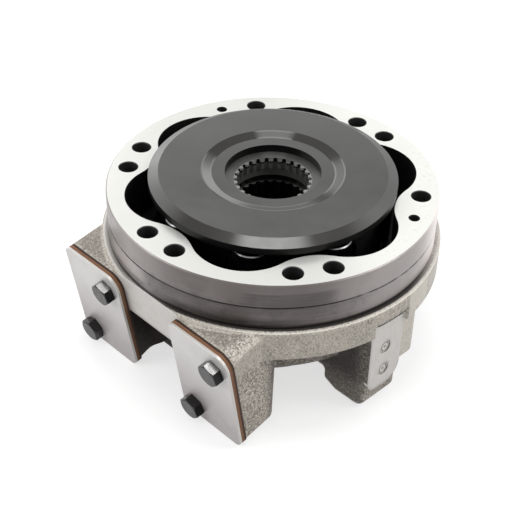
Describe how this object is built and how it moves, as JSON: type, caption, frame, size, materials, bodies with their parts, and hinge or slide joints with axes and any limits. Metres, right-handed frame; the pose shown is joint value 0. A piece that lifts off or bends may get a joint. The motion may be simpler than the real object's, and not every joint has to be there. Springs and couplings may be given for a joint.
{
  "type": "hydraulic drive motor",
  "caption": "Radial piston hydraulic drive motor without its own output bearing: lobed cam ring round a splined cylinder block with roller pistons, on a cast case with covered ports.",
  "frame": {"origin": "on the motor axis, in the top face of the cam ring that bolts to the driven machine", "axes": "+Z along the motor axis, out of the cam ring towards the driven machine; the port pads face -Y; the valve boss and leg are on the +X side"},
  "size_m": [0.245, 0.2518, 0.1388],
  "materials": {
    "casting": "rough as-cast skin, machined on the pads",
    "ring_steel": "ground top face, turned rim",
    "block_steel": "turned and phosphated",
    "inner_steel": "ground",
    "spring_steel": "oiled",
    "seal": "soft",
    "plug_steel": "turned",
    "copper": "soft",
    "cover_plate": "satin zinc plating",
    "gasket": "fibre sheet, cut edge",
    "liner": "dark sheet, cut edge",
    "bolt_steel": "oiled, dark",
    "piston_steel": "ground",
    "roller_steel": "polished",
    "shell_bronze": "lined",
    "ring_plastic": "plain"
  },
  "bodies": {
    "case": {"rear_case": "casting", "cam_ring": "ring_steel", "distributor": "inner_steel", "distributor_springs": "spring_steel", "distributor_pins": "inner_steel", "distributor_seal_upper": "seal", "distributor_seal_middle": "seal", "distributor_seal_lower": "seal", "ring_seal": "seal", "locating_dowels": "inner_steel", "gallery_plugs": "plug_steel", "drain_plug": "plug_steel", "drain_washer": "copper", "port_cover_left": "cover_plate", "port_cover_right": "cover_plate", "port_gasket_left": "gasket", "port_gasket_right": "gasket", "port_liner_left": "liner", "port_liner_right": "liner", "cover_bolts_left": "bolt_steel", "cover_bolts_right": "bolt_steel"},
    "rotor": {"cylinder_block": "block_steel"},
    "piston_unit_1": {"piston_1": "piston_steel", "roller_shell_1": "shell_bronze", "piston_ring_1": "ring_plastic"},
    "roller_unit_1": {"roller_1": "roller_steel"},
    "piston_unit_2": {"piston_2": "piston_steel", "roller_shell_2": "shell_bronze", "piston_ring_2": "ring_plastic"},
    "roller_unit_2": {"roller_2": "roller_steel"},
    "piston_unit_3": {"piston_3": "piston_steel", "roller_shell_3": "shell_bronze", "piston_ring_3": "ring_plastic"},
    "roller_unit_3": {"roller_3": "roller_steel"},
    "piston_unit_4": {"piston_4": "piston_steel", "roller_shell_4": "shell_bronze", "piston_ring_4": "ring_plastic"},
    "roller_unit_4": {"roller_4": "roller_steel"},
    "piston_unit_5": {"piston_5": "piston_steel", "roller_shell_5": "shell_bronze", "piston_ring_5": "ring_plastic"},
    "roller_unit_5": {"roller_5": "roller_steel"},
    "piston_unit_6": {"piston_6": "piston_steel", "roller_shell_6": "shell_bronze", "piston_ring_6": "ring_plastic"},
    "roller_unit_6": {"roller_6": "roller_steel"},
    "piston_unit_7": {"piston_7": "piston_steel", "roller_shell_7": "shell_bronze", "piston_ring_7": "ring_plastic"},
    "roller_unit_7": {"roller_7": "roller_steel"},
    "piston_unit_8": {"piston_8": "piston_steel", "roller_shell_8": "shell_bronze", "piston_ring_8": "ring_plastic"},
    "roller_unit_8": {"roller_8": "roller_steel"}
  },
  "joints": [
    {"name": "rotor_spin", "type": "hinge", "parent": "case", "child": "rotor", "pos_m": [0, 0, 0], "axis": [0, 0, 1], "continuous": true},
    {"name": "piston_slide_1", "type": "slide", "parent": "rotor", "child": "piston_unit_1", "axis": [0.8271, 0.5621, 0], "range_m": [0, 0.0029]},
    {"name": "roller_spin_1", "type": "hinge", "parent": "piston_unit_1", "child": "roller_unit_1", "pos_m": [0.05996, 0.04075, -0.018], "axis": [0, 0, 1], "continuous": true},
    {"name": "piston_slide_2", "type": "slide", "parent": "rotor", "child": "piston_unit_2", "axis": [0.1874, 0.9823, 0], "range_m": [0, 0.0058]},
    {"name": "roller_spin_2", "type": "hinge", "parent": "piston_unit_2", "child": "roller_unit_2", "pos_m": [0.01358, 0.07122, -0.018], "axis": [0, 0, 1], "continuous": true},
    {"name": "piston_slide_3", "type": "slide", "parent": "rotor", "child": "piston_unit_3", "axis": [-0.5621, 0.8271, 0], "range_m": [0, 0.0188]},
    {"name": "roller_spin_3", "type": "hinge", "parent": "piston_unit_3", "child": "roller_unit_3", "pos_m": [-0.04075, 0.05996, -0.018], "axis": [0, 0, 1], "continuous": true},
    {"name": "piston_slide_4", "type": "slide", "parent": "rotor", "child": "piston_unit_4", "axis": [-0.9823, 0.1874, 0], "range_m": [0, 0.0145]},
    {"name": "roller_spin_4", "type": "hinge", "parent": "piston_unit_4", "child": "roller_unit_4", "pos_m": [-0.07122, 0.01358, -0.018], "axis": [0, 0, 1], "continuous": true},
    {"name": "piston_slide_5", "type": "slide", "parent": "rotor", "child": "piston_unit_5", "axis": [-0.8271, -0.5621, 0], "range_m": [0, 0.0029]},
    {"name": "roller_spin_5", "type": "hinge", "parent": "piston_unit_5", "child": "roller_unit_5", "pos_m": [-0.05996, -0.04075, -0.018], "axis": [0, 0, 1], "continuous": true},
    {"name": "piston_slide_6", "type": "slide", "parent": "rotor", "child": "piston_unit_6", "axis": [-0.1874, -0.9823, 0], "range_m": [0, 0.0058]},
    {"name": "roller_spin_6", "type": "hinge", "parent": "piston_unit_6", "child": "roller_unit_6", "pos_m": [-0.01358, -0.07122, -0.018], "axis": [0, 0, 1], "continuous": true},
    {"name": "piston_slide_7", "type": "slide", "parent": "rotor", "child": "piston_unit_7", "axis": [0.5621, -0.8271, 0], "range_m": [0, 0.0188]},
    {"name": "roller_spin_7", "type": "hinge", "parent": "piston_unit_7", "child": "roller_unit_7", "pos_m": [0.04075, -0.05996, -0.018], "axis": [0, 0, 1], "continuous": true},
    {"name": "piston_slide_8", "type": "slide", "parent": "rotor", "child": "piston_unit_8", "axis": [0.9823, -0.1874, 0], "range_m": [0, 0.0145]},
    {"name": "roller_spin_8", "type": "hinge", "parent": "piston_unit_8", "child": "roller_unit_8", "pos_m": [0.07122, -0.01358, -0.018], "axis": [0, 0, 1], "continuous": true}
  ]
}
